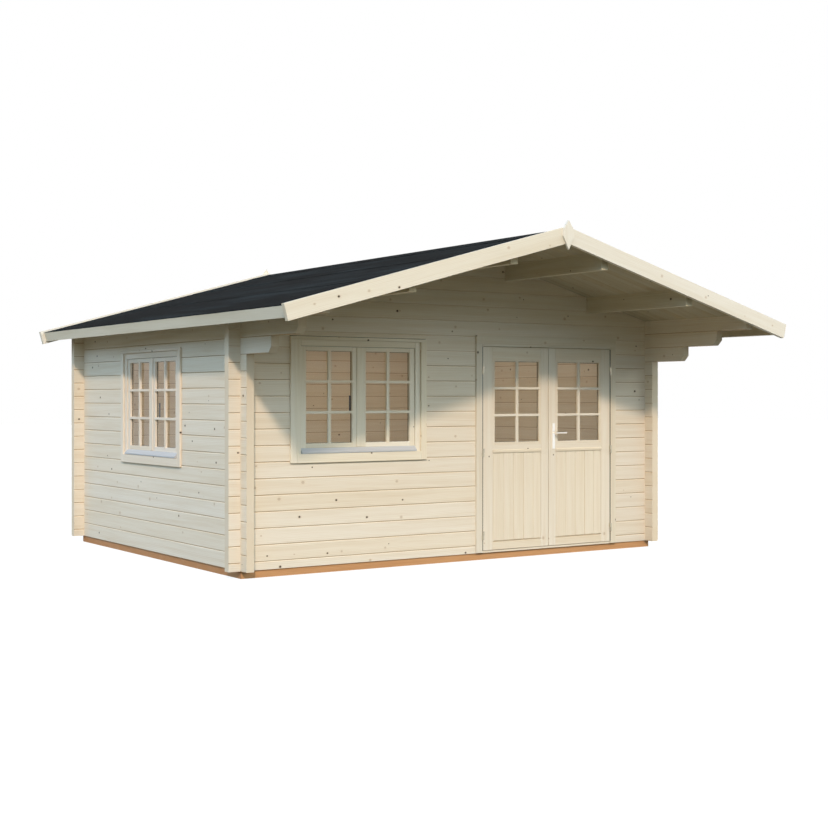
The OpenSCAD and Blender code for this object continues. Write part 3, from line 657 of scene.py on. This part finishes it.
# Door frame, threshold and casing.
# Spruce jambs and head in the wall's opening, a sill board under the leaves, and planed boards
# with bevelled edges nailed round the opening outside.
door_x = 0.936
pair_half = 0.7565
door_gap = 0.005
door_casing_top = 0.078
head_fillet = 0.019
outer_bevel = (0.002, 0.002)
inner_bevel = (0.004, 0.003)
corner_bevel = (0.005, 0.002)
refinish("door_frame", upright_wood("door_frame_wood", spruce_light, spruce_dark, door_x, 740.0, 0.4))
low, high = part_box("door_threshold")
refinish("door_threshold", course_wood(
    "threshold_wood", spruce_light, spruce_dark, 0, low.z, high.z - low.z, 741.0, 0.0))
low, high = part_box("door_casing")
door_casing_w = high.x - door_x - pair_half - door_gap
head_z = high.z - door_casing_top
inner = door_x + pair_half + door_gap


def upright_at(x):
    """Turns (up, across, in) into the cabin's axes, with across measured from x."""
    return Matrix(((0, 1, 0, x), (0, 0, 1, 0), (1, 0, 0, 0), (0, 0, 0, 1)))


def edged(stack, low, high, left, right):
    """An upright board whose two front edges are bevelled, each by a width and a depth."""
    middle, half = (low[0] + high[0]) / 2, (high[0] - low[0]) / 2
    front, back = low[1], high[1]
    outline = [(left[0] - half, front), (half - right[0], front), (half, front + right[1]), (half, back),
               (-half, back), (-half, front + left[1])]
    stack.mould(outline, low[2], high[2], upright_at(middle))


casing = PlankStack()
left_inner = low.x + door_casing_w
edged(casing, low, (left_inner, high.y, head_z), outer_bevel, inner_bevel)
edged(casing, (inner, low.y, low.z), (high.x, high.y, head_z), inner_bevel, corner_bevel)
casing.add((low.x, low.y, head_z), high, 0, 2)
casing.add((left_inner, low.y, head_z - head_fillet), (inner, high.y, head_z), 0, 2, 0.001)
casing_wood = board_wood("casing_spruce", paint(231, 222, 204), paint(211, 194, 165), 750.0, 0.6)
casing.piece("door_casing_boards", casing_wood, "root", "spruce", ["door_casing"])

# Dark strips in the door's side gaps.
# A dark rubber strip let into the door frame on each side of the pair of leaves, standing in for the
# shade in the gap: painted shade. It fills most of the gap there, so that the leaf's edge shows as a fine
# dark line.
wall_front_y = -1.195
shade_strip_proud = 0.0003
shade_strip_clear = 0.0012
shade_strip_bite = 0.001
shade_strip_reach = 0.024
shade_strip_y0, shade_strip_y1 = low.y - shade_strip_proud, wall_front_y + shade_strip_reach


# Dark rubber for the strips in the door's gaps, round the panes and round the sashes: dark pieces put where
# there is shade, painted shade.
def shade_strip_finish():
    material, tree, shader = new_finish("shade_strip_rubber")
    specks = drawn_noise(tree, own_axes(tree, "Object"), (1.0, 1.0, 1.0), 300.0, 2.0)
    set_inputs(tree, shader, {
        "Base Color": blend_colour(tree, specks, paint(66, 54, 38), paint(84, 70, 52)), "Roughness": 0.7})
    return material


shade_strip_rubber = shade_strip_finish()
draught_shade_strip = PlankStack()
low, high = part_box("left_door")
for x0, x1 in ((door_x - pair_half - door_gap - shade_strip_bite, door_x - pair_half - shade_strip_clear),
               (door_x + pair_half + shade_strip_clear, inner)):
    draught_shade_strip.add((x0, shade_strip_y0, low.z), (x1, shade_strip_y1, high.z), 2, 0, 0.0005)
draught_shade_strip.piece("draught_shade_strip", shade_strip_rubber, "root", "dark_bronze")

# Door leaves.
# Each leaf has two stiles, three rails and glazing beads of planed spruce round a single pane,
# with upright tongued boards in the panel below. A lattice of bars is fixed over the pane.
leaf_t = 0.040
hinge_stile = 0.134
meeting_stile = 0.108
bead_w = 0.024
top_rail = 0.128
mid_rail = 0.097
bottom_rail = 0.070
leaf_chamfer = 0.0012
stile_bevel = (0.0015, 0.0015)
meeting_bevel = (0.005, 0.002)
panel_h = 0.803
panel_t = 0.020
panel_board = 0.114
first_panel_board = 0.1245
panel_back = 0.002
panel_gap = 0.003
panel_play = 0.001
narrowest_board = 0.01
panel_chamfer = 0.0032
foot_gap = 0.0085
wide_joint = 0.003
wide_joint_at = 3
fillet_w = 0.015
fillet_deep = 0.005
fillet_proud = 0.0005
tongue_w = 0.008
tongue_back = 0.001
foot_strip_t = 0.006
foot_strip_under = 0.001
foot_strip_over = 0.004
moulding_half = 0.015
moulding_flat = (-0.009, 0.008)
moulding_out = 0.006
glass_back = 0.018
bar_w = 0.028
level_bar = 0.022
bar_lap = 0.012
bar_proud = 0.003
bar_chamfer = 0.0014
glass_t = 0.004
bead_back = 0.010
shade_strip_w = 0.003
shade_strip_deep = 0.006
leaf_wood = board_wood("leaf_spruce", spruce_light, spruce_dark, 800.0, 0.35)
panel_wood = board_wood("panel_spruce", paint(236, 224, 203), spruce_dark, 830.0, 0.0, 0.35, 0.15)
bar_wood = board_wood("bar_spruce", trim_light, trim_dark, 850.0, 0.0)


def pane_shade_strip(stack, x0, x1, z0, z1, back):
    """A dark strip that runs round the inside of a pane, painted shade at the pane's edge."""
    for a, b in ((x0 - shade_strip_w, x0 + shade_strip_w), (x1 - shade_strip_w, x1 + shade_strip_w)):
        stack.add((a, back, z0), (b, back + shade_strip_deep, z1), 2, 0, 0.0005)
    for a, b in ((z0 - shade_strip_w, z0 + shade_strip_w), (z1 - shade_strip_w, z1 + shade_strip_w)):
        stack.add((x0, back, a), (x1, back + shade_strip_deep, b), 0, 2, 0.0005)


def lattice(stack, x0, x1, z0, z1, face, pane, rows):
    """Bars over a pane: one upright and some level ones, each lapping onto the wood round the pane."""
    front = face - bar_proud
    half, level_half = bar_w / 2, level_bar / 2
    left, right = (x0 + x1) / 2 - half, (x0 + x1) / 2 + half
    cuts = [z0 + (z1 - z0) * row / rows for row in range(rows + 1)]
    for z in cuts[1:-1]:
        foot, head = z - level_half, z + level_half
        stack.add((x0 - bar_lap, front, foot), (x1 + bar_lap, face, head), 0, 2, bar_chamfer)
        stack.add((x0, face, foot), (x1, pane, head), 0, 2, 0.001)
    for low_cut, high_cut in zip(cuts, cuts[1:]):
        foot = low_cut + (level_half if low_cut > z0 else -bar_lap)
        head = high_cut - (level_half if high_cut < z1 else -bar_lap)
        stack.add((left, front, foot), (right, face, head), 2, 0, bar_chamfer)
        stack.add((left, face, max(foot, z0)), (right, pane, min(head, z1)), 2, 0, 0.001)


def level_at(y, z):
    """Turns (across the front, up, in) into the cabin's axes, with up from z and in from y."""
    return Matrix(((1, 0, 0, 0), (0, 0, 1, y), (0, 1, 0, z), (0, 0, 0, 1)))


def joint_half(number):
    """Half the open joint beside a panel board. One joint has opened wider than the others."""
    return panel_gap / 4 + (wide_joint if number == wide_joint_at else 0)


for side, name in ((-1, "left"), (1, "right")):
    low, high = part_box(name + "_door")
    face = low.y + moulding_out
    back = face + leaf_t
    stiles = (hinge_stile, meeting_stile) if side < 0 else (meeting_stile, hinge_stile)
    open0, open1 = low.x + stiles[0], high.x - stiles[1]
    panel0, panel1 = open0 - bead_w, open1 + bead_w
    panel_z0, panel_z1 = low.z + bottom_rail, low.z + bottom_rail + panel_h
    glass_z0, glass_z1 = panel_z1 + mid_rail, high.z - top_rail
    rim_z0, rim_z1 = glass_z0 - bead_w, glass_z1 + bead_w
    leaf = PlankStack()
    edged(leaf, (low.x, face, low.z), (panel0, back, high.z), stile_bevel, stile_bevel)
    edged(leaf, (panel1, face, low.z), (high.x, back, high.z), stile_bevel,
          meeting_bevel if side < 0 else stile_bevel)
    for z0, z1 in ((low.z, panel_z0), (panel_z1, rim_z0), (rim_z1, high.z)):
        leaf.add((panel0, face, z0), (panel1, back, z1), 0, 2, leaf_chamfer)
    pane_back = face + glass_back + glass_t
    for depth0, depth1, set_back in ((face, pane_back, 0.0), (pane_back, back, bead_back)):
        bead0, bead1 = open0 - set_back, open1 + set_back
        leaf.add((panel0, depth0, rim_z0), (bead0, depth1, rim_z1), 2, 0, leaf_chamfer)
        leaf.add((bead1, depth0, rim_z0), (panel1, depth1, rim_z1), 2, 0, leaf_chamfer)
        leaf.add((bead0, depth0, rim_z0), (bead1, depth1, glass_z0 - set_back), 0, 2, leaf_chamfer)
        leaf.add((bead0, depth0, glass_z1 + set_back), (bead1, depth1, rim_z1), 0, 2, leaf_chamfer)
    moulding = [(-moulding_half, 0.0), (-moulding_half, -moulding_out * 0.6),
                (moulding_flat[0], -moulding_out), (moulding_flat[1], -moulding_out), (moulding_half, 0.0)]
    leaf.mould(moulding, panel0, panel1, level_at(face, panel_z1 + moulding_half))
    leaf.piece(name + "_leaf_frame", leaf_wood, name + "_leaf", "spruce", [name + "_door"])
    panel = PlankStack()
    foot = panel_z0 + foot_gap
    panel_y0, panel_y1 = face + panel_back, face + panel_back + panel_t
    fillet = [(0, face + fillet_proud), (fillet_w, face + fillet_deep), (fillet_w, panel_y1), (0, panel_y1)]
    panel.mould(fillet, foot, panel_z1, upright_at(panel0))
    joints = [panel0, panel0 + first_panel_board]
    while joints[-1] < panel1 - narrowest_board:
        joints.append(joints[-1] + panel_board)
    for number, (x0, x1) in enumerate(zip(joints, joints[1:])):
        last = number == len(joints) - 2
        board0 = x0 + (joint_half(number) if number else fillet_w)
        board1 = panel1 - panel_play if last else x1 - joint_half(number + 1)
        panel.add((board0, panel_y0, foot), (board1, panel_y1, panel_z1), 2, 0, panel_chamfer)
        if not last:
            panel.add((x1 - tongue_w / 2, panel_y0 + panel_t / 4, foot),
                      (x1 + tongue_w / 2, panel_y1 - tongue_back, panel_z1), 2, 0)
    panel.add((panel0, panel_y1 - foot_strip_t, panel_z0 - foot_strip_under),
              (panel1, panel_y1 - tongue_back, foot + foot_strip_over), 0, 2)
    panel.piece(name + "_leaf_panel", panel_wood, name + "_leaf", "spruce", [name + "_door"])
    bars = PlankStack()
    lattice(bars, open0, open1, glass_z0, glass_z1, face, face + glass_back, 3)
    bars.piece(name + "_leaf_bars", bar_wood, name + "_leaf", "spruce")
    # A dark strip round the pane, painted shade at its edge.
    seal = PlankStack()
    pane_shade_strip(seal, open0, open1, glass_z0, glass_z1, pane_back)
    seal.piece(name + "_leaf_shade_strip", shade_strip_rubber, name + "_leaf", "dark_bronze")

# Hinges and lever handle.
# Steel lift-off hinges, zinc plated, three to a leaf, and a brushed steel plate and lever.


def metal_finish(name, colour, roughness, brushed, axis):
    """Brushed along one axis. brushed is how much the scratches change the roughness."""
    material, tree, shader = new_finish(name)
    fine = [900.0, 900.0, 900.0]
    fine[axis] = 25.0
    scratches = drawn_noise(tree, own_axes(tree, "Object"), fine, 1.0, 2.0)
    dark = [c * 0.92 for c in colour[:3]] + [1.0]
    set_inputs(tree, shader, {
        "Base Color": blend_colour(tree, scratches, dark, colour), "Metallic": 1.0,
        "Roughness": remap(tree, scratches, 0.3, 0.7, roughness - brushed, roughness + brushed),
        "Normal": bumped(tree, scratches, 0.12, 0.0003)})
    return material


zinc = metal_finish("zinc_plate", paint(200, 192, 174), 0.45, 0.06, 2)
brushed_steel = metal_finish("brushed_steel", paint(250, 246, 238), 0.34, 0.08, 2)
for node in ("door_frame_hinges", "left_door_hinges", "right_door_hinges"):
    refinish(node, zinc)
refinish("handle_plates", brushed_steel)
refinish("door_lever", metal_finish("lever_steel", paint(250, 246, 238), 0.3, 0.06, 0))

# Window frames, casings and sashes.
# Both windows are the same double casement of planed spruce, with a cover strip where the sashes
# meet and a lattice over each pane. Each is made round its own middle, front towards -Y, and set in.
window_w = 1.239
window_h = 1.005
frame_bar = 0.052
frame_low = 0.059
sill_h = 0.048
sill_out = 0.003
sill_nose = (0.003, 0.013)
sill_play = 0.001
casing_t = 0.020
window_casing_w = 0.058
casing_cover = 0.004
window_casing_low = 0.075
window_casing_top = 0.026
sash_stile = 0.053
sash_meeting = 0.067
sash_rail = 0.038
sash_t = 0.040
sash_back = 0.012
sash_gap = 0.0025
sash_meet = 0.001
sash_chamfer = 0.001
sash_shade_strip_back = 0.005
cover_w = 0.055
cover_t = 0.008
cover_play = 0.0005
casing_strip_t = 0.0015
casing_strip_h = 0.0045
casing_strip_lap = 0.001
sash_w = window_w / 2 - frame_bar
sash_z0 = frame_low + sill_h
sash_z1 = window_h - frame_bar
sash_top = sash_z1 - sash_gap
sash_inside = sash_back + sash_t
wall_left_x = -2.230
front_window_x, front_window_z = -1.106, 0.934
side_window_y, side_window_z = 0.605, 0.867
quarter_turn = Matrix.Rotation(math.radians(-90), 4, "Z")
front_window = Matrix.Translation((front_window_x, wall_front_y, front_window_z))
side_window = Matrix.Translation((wall_left_x, side_window_y, side_window_z)) @ quarter_turn

window_frame = PlankStack()
for x0, x1 in ((-window_w / 2, -sash_w), (sash_w, window_w / 2)):
    window_frame.add((x0, 0, 0), (x1, log_t, window_h), 2, 0)
window_frame.add((-sash_w, 0, sash_z1), (sash_w, log_t, window_h), 0, 2)
window_frame.add((-sash_w, 0, 0), (sash_w, log_t, frame_low), 0, 2)
window_frame.add((-sash_w, sash_back, frame_low), (sash_w, log_t, sash_z0), 0, 2)

window_casing = PlankStack()
casing_in = window_w / 2 - casing_cover
casing_out = casing_in + window_casing_w
casing_z0, casing_z1 = frame_low - window_casing_low, window_h + window_casing_top
for x0, x1 in ((-casing_out, -casing_in), (casing_in, casing_out)):
    window_casing.add((x0, -casing_t, casing_z0), (x1, 0, window_h), 2, 0, 0.003)
window_casing.add((-casing_in, -casing_t, casing_z0), (casing_in, 0, frame_low), 0, 2)
window_casing.add((-casing_out, -casing_t, window_h), (casing_out, 0, casing_z1), 0, 2, 0.004)

window_sash = PlankStack()
window_bars = PlankStack()
window_shade_strip = PlankStack()
pane_back = sash_back + glass_back + glass_t
sill_rail, head_rail = sash_z0 + sash_rail, sash_z1 - sash_rail
for side in (-1, 1):
    x0, x1 = (sash_gap - sash_w, -sash_meet) if side < 0 else (sash_meet, sash_w - sash_gap)
    open0 = -sash_w + sash_stile if side < 0 else sash_meeting
    open1 = -sash_meeting if side < 0 else sash_w - sash_stile
    for a, b, inset in ((x0, open0, -bead_back), (open1, x1, bead_back)):
        window_sash.add((a, sash_back, sash_z0), (b, pane_back, sash_top), 2, 0)
        window_sash.add((a + max(inset, 0), pane_back, sash_z0),
                        (b + min(inset, 0), sash_inside, sash_top), 2, 0)
    for a, b, inset in ((sash_z0, sill_rail, -bead_back), (head_rail, sash_top, bead_back)):
        window_sash.add((open0, sash_back, a), (open1, pane_back, b), 0, 2, sash_chamfer)
        window_sash.add((open0 - bead_back, pane_back, a + max(inset, 0)),
                        (open1 + bead_back, sash_inside, b + min(inset, 0)), 0, 2, sash_chamfer)
    pane_shade_strip(window_shade_strip, open0, open1, sill_rail, head_rail, pane_back)
    lattice(window_bars, open0, open1, sill_rail, head_rail, sash_back, sash_back + glass_back, 3)
# Dark strips in the gap round the sashes, painted shade.
shade_strip_y0 = sash_back + sash_shade_strip_back
shade_strip_y1 = shade_strip_y0 + shade_strip_deep
for x0, x1 in ((-sash_w, sash_gap - sash_w), (sash_w - sash_gap, sash_w)):
    window_shade_strip.add((x0, shade_strip_y0, sash_z0), (x1, shade_strip_y1, sash_z1), 2, 0, 0.0004)
window_shade_strip.add((-sash_w, shade_strip_y0, sash_top), (sash_w, shade_strip_y1, sash_z1), 0, 2, 0.0004)
window_sash.add((-cover_w / 2, sash_back - cover_t, sash_z0 + sill_play),
                (cover_w / 2, sash_back - cover_play, sash_top), 2, 0, 0.003)

window_sill = PlankStack()
sill_front = -casing_t - sill_out
sill_section = [(frame_low, sash_back), (sash_z0 - sill_play, sash_back),
                (frame_low + sill_nose[1], sill_front), (frame_low + sill_nose[0], sill_front)]
window_sill.mould(sill_section, -sash_w, sash_w, level_at(0, 0))
# The sill's blue-grey tones are partly the sill's own grey and partly a painted reflection of the sky.
sill_wood = board_wood("sill_spruce_sky_reflection", paint(200, 203, 208), paint(178, 179, 180), 890.0, 0.0, 0.15)

for where, matrix, light, dark in (
        ("front", front_window, paint(243, 234, 214), paint(223, 206, 176)),
        ("side", side_window, paint(242, 230, 213), paint(222, 203, 175))):
    window_wood = board_wood(where + "_window_spruce", light, dark, 860.0, 0.3)
    casing_wood = board_wood(where + "_casing_spruce", light, dark, 750.0, 0.6)
    bar_wood = board_wood(where + "_bar_spruce", light, dark, 850.0, 0.0)
    for boards, name, wood, slot, replaced in (
            (window_frame, "_window_frame", window_wood, "spruce", ["window_frames"]),
            (window_casing, "_window_casing", casing_wood, "spruce", ["window_casings"]),
            (window_sash, "_window_sashes", window_wood, "spruce", ["window_sashes"]),
            (window_bars, "_window_bars", bar_wood, "spruce", ()),
            (window_shade_strip, "_window_shade_strips", shade_strip_rubber, "dark_bronze", ()),
            (window_sill, "_window_sill", sill_wood, "sill_wood", ["window_sills"])):
        boards.piece(where + name, wood, "root", slot, replaced, matrix)
# A dark strip along the top of the front casing, painted shade where the casing meets the wall.
casing_shade_strip = PlankStack()
casing_shade_strip.add((-casing_out, -casing_strip_t, casing_z1 - casing_strip_lap),
            (casing_out, 0, casing_z1 + casing_strip_h), 0, 2, 0.0005)
casing_shade_strip.piece("front_casing_shade_strip", shade_strip_rubber, "root", "dark_bronze", (), front_window)
refinish("window_handles", metal_finish("dark_bronze", paint(52, 44, 38), 0.4, 0.05, 2))

# Glass.
# Single panes of clear float glass, four millimetres thick, set in rebates behind the lattices.
# Their outer faces mirror a little, and they are hardly waved.


def glass_finish():
    material, tree, shader = new_finish("clear_glass")
    tree.nodes.clear()
    through = finish_node(tree, "BsdfTransparent", {"Color": (0.95, 0.97, 0.96, 1)})
    ripples = finish_node(tree, "TexNoise", {
        "Vector": own_axes(tree, "Object"), "Scale": 2.5, "Detail": 1.0})
    mirror = finish_node(tree, "BsdfGlossy", {
        "Color": (1, 1, 1, 1), "Roughness": 0.01,
        "Normal": bumped(tree, ripples.outputs["Fac"], 0.05, 0.004)})
    inner_face = finish_node(tree, "NewGeometry").outputs["Backfacing"]
    outside = reckon(tree, "SUBTRACT", 1.0, inner_face)
    share = reckon(tree, "MULTIPLY", finish_node(tree, "Fresnel", {"IOR": 1.5}).outputs[0], outside)
    both = finish_node(tree, "MixShader", {0: share, 1: through.outputs[0], 2: mirror.outputs[0]})
    finish_node(tree, "OutputMaterial", {"Surface": both.outputs[0]})
    return material


clear_glass = glass_finish()
for node in ("window_glass", "left_door_glass", "right_door_glass"):
    refinish(node, clear_glass)

# Floor, backdrop and light.
# A plain pale floor under a white surround, with a low sun from the front left, a soft blue sky and a
# lamp inside the room. Eye, mirror and glass see plain white, and the rest is what lights the cabin.
floor_size = 60.0
floor_glow = 0.86
floor_grey = (0.2, 0.2, 0.2, 1)
floor_bounce = (0.095, 0.09, 0.065, 1)
haze_left = (1.13, 1.64, 2.18, 1)
haze_right = (2.42, 2.56, 2.44, 1)
horizon_green = (0.20, 0.22, 0.15, 1)
zenith_blue = (0.30, 0.46, 0.66, 1)
sun_path = Vector((0.853, 1.40, -1.067))
sun_strength = 1.99
sun_colour = (1.0, 0.815, 0.66)
sun_width = math.radians(3.5)
lamp_power = 18.5
lamp_colour = (1.0, 0.87, 0.72)
lamp_size = (3.6, 2.6)
lamp_place = (0, 0.6, 2.1)
ground = bpy.data.meshes.new("ground")
ground.from_pydata([(x * floor_size, y * floor_size, 0) for x, y in ((-1, -1), (1, -1), (1, 1), (-1, 1))], [],
                   [(0, 1, 2, 3)])
put_in("ground", ground)


def seen(tree):
    """1 where the eye, a mirror or clear glass looks, and 0 for the light that bounces about."""
    path = finish_node(tree, "LightPath").outputs
    return reckon(tree, "MAXIMUM", path["Is Camera Ray"], reckon(
        tree, "MAXIMUM", path["Is Glossy Ray"], path["Is Transmission Ray"]))


def two_ways(tree, lighting, shown, output):
    """Ends a tree in one shader for the light that bounces about and another for what is seen."""
    choice = finish_node(tree, "MixShader", {
        0: seen(tree), 1: lighting.outputs[0], 2: shown.outputs[0]})
    finish_node(tree, output, {"Surface": choice.outputs[0]})


ground_paint, tree, shader = new_finish("pale_ground")
tree.nodes.clear()
glow = finish_node(tree, "Emission", {"Color": (1, 1, 1, 1), "Strength": floor_glow})
pale = finish_node(tree, "BsdfDiffuse", {"Color": floor_grey})
both = finish_node(tree, "AddShader", {0: glow.outputs[0], 1: pale.outputs[0]})
dull = finish_node(tree, "BsdfDiffuse", {"Color": floor_bounce})
two_ways(tree, dull, both, "OutputMaterial")
ground.materials.append(ground_paint)

world = bpy.data.worlds.new("surround")
bpy.context.scene.world = world
world.use_nodes = True
tree = world.node_tree
tree.nodes.clear()
toward = finish_node(tree, "SeparateXYZ", {0: own_axes(tree, "Generated")}).outputs
haze = blend_colour(tree, remap(tree, toward[0], -1.0, 1.0), haze_left, haze_right)
low_sky = blend_colour(tree, remap(tree, toward[2], 0.10, 0.30), horizon_green, haze)
sky = blend_colour(tree, remap(tree, toward[2], 0.5, 0.8), low_sky, zenith_blue)
dome = finish_node(tree, "Background", {"Color": sky, "Strength": 1.0})
white = finish_node(tree, "Background", {"Color": (1, 1, 1, 1), "Strength": 1.0})
two_ways(tree, dome, white, "OutputWorld")

sun_light = bpy.data.lights.new("sun", "SUN")
sun_light.energy = sun_strength
sun_light.color = sun_colour
sun_light.angle = sun_width
put_in("sun", sun_light).rotation_euler = sun_path.to_track_quat("-Z", "Y").to_euler()

lamp = bpy.data.lights.new("inside", "AREA")
lamp.shape = "RECTANGLE"
lamp.size, lamp.size_y = lamp_size
lamp.energy = lamp_power
lamp.color = lamp_colour
put_in("inside", lamp).location = lamp_place

# Camera.
# It stands level at eye height, in front of the cabin and to its left. Its place, turn and focal
# length were fitted to the joints of the logs.
camera_place = (-7.2871, -11.2562, 1.4608)
camera_turn = math.radians(33.790849)
focal_length = 60.56
horizon_shift = -0.02016
lens = bpy.data.cameras.new("camera")
lens.lens = focal_length
lens.sensor_width = 36.0
lens.shift_y = horizon_shift
lens.clip_end = 200.0
camera = put_in("camera", lens)
camera.location = camera_place
camera.rotation_euler = (math.pi / 2, 0, -camera_turn)
bpy.context.scene.camera = camera
bpy.context.scene.view_settings.view_transform = "Standard"
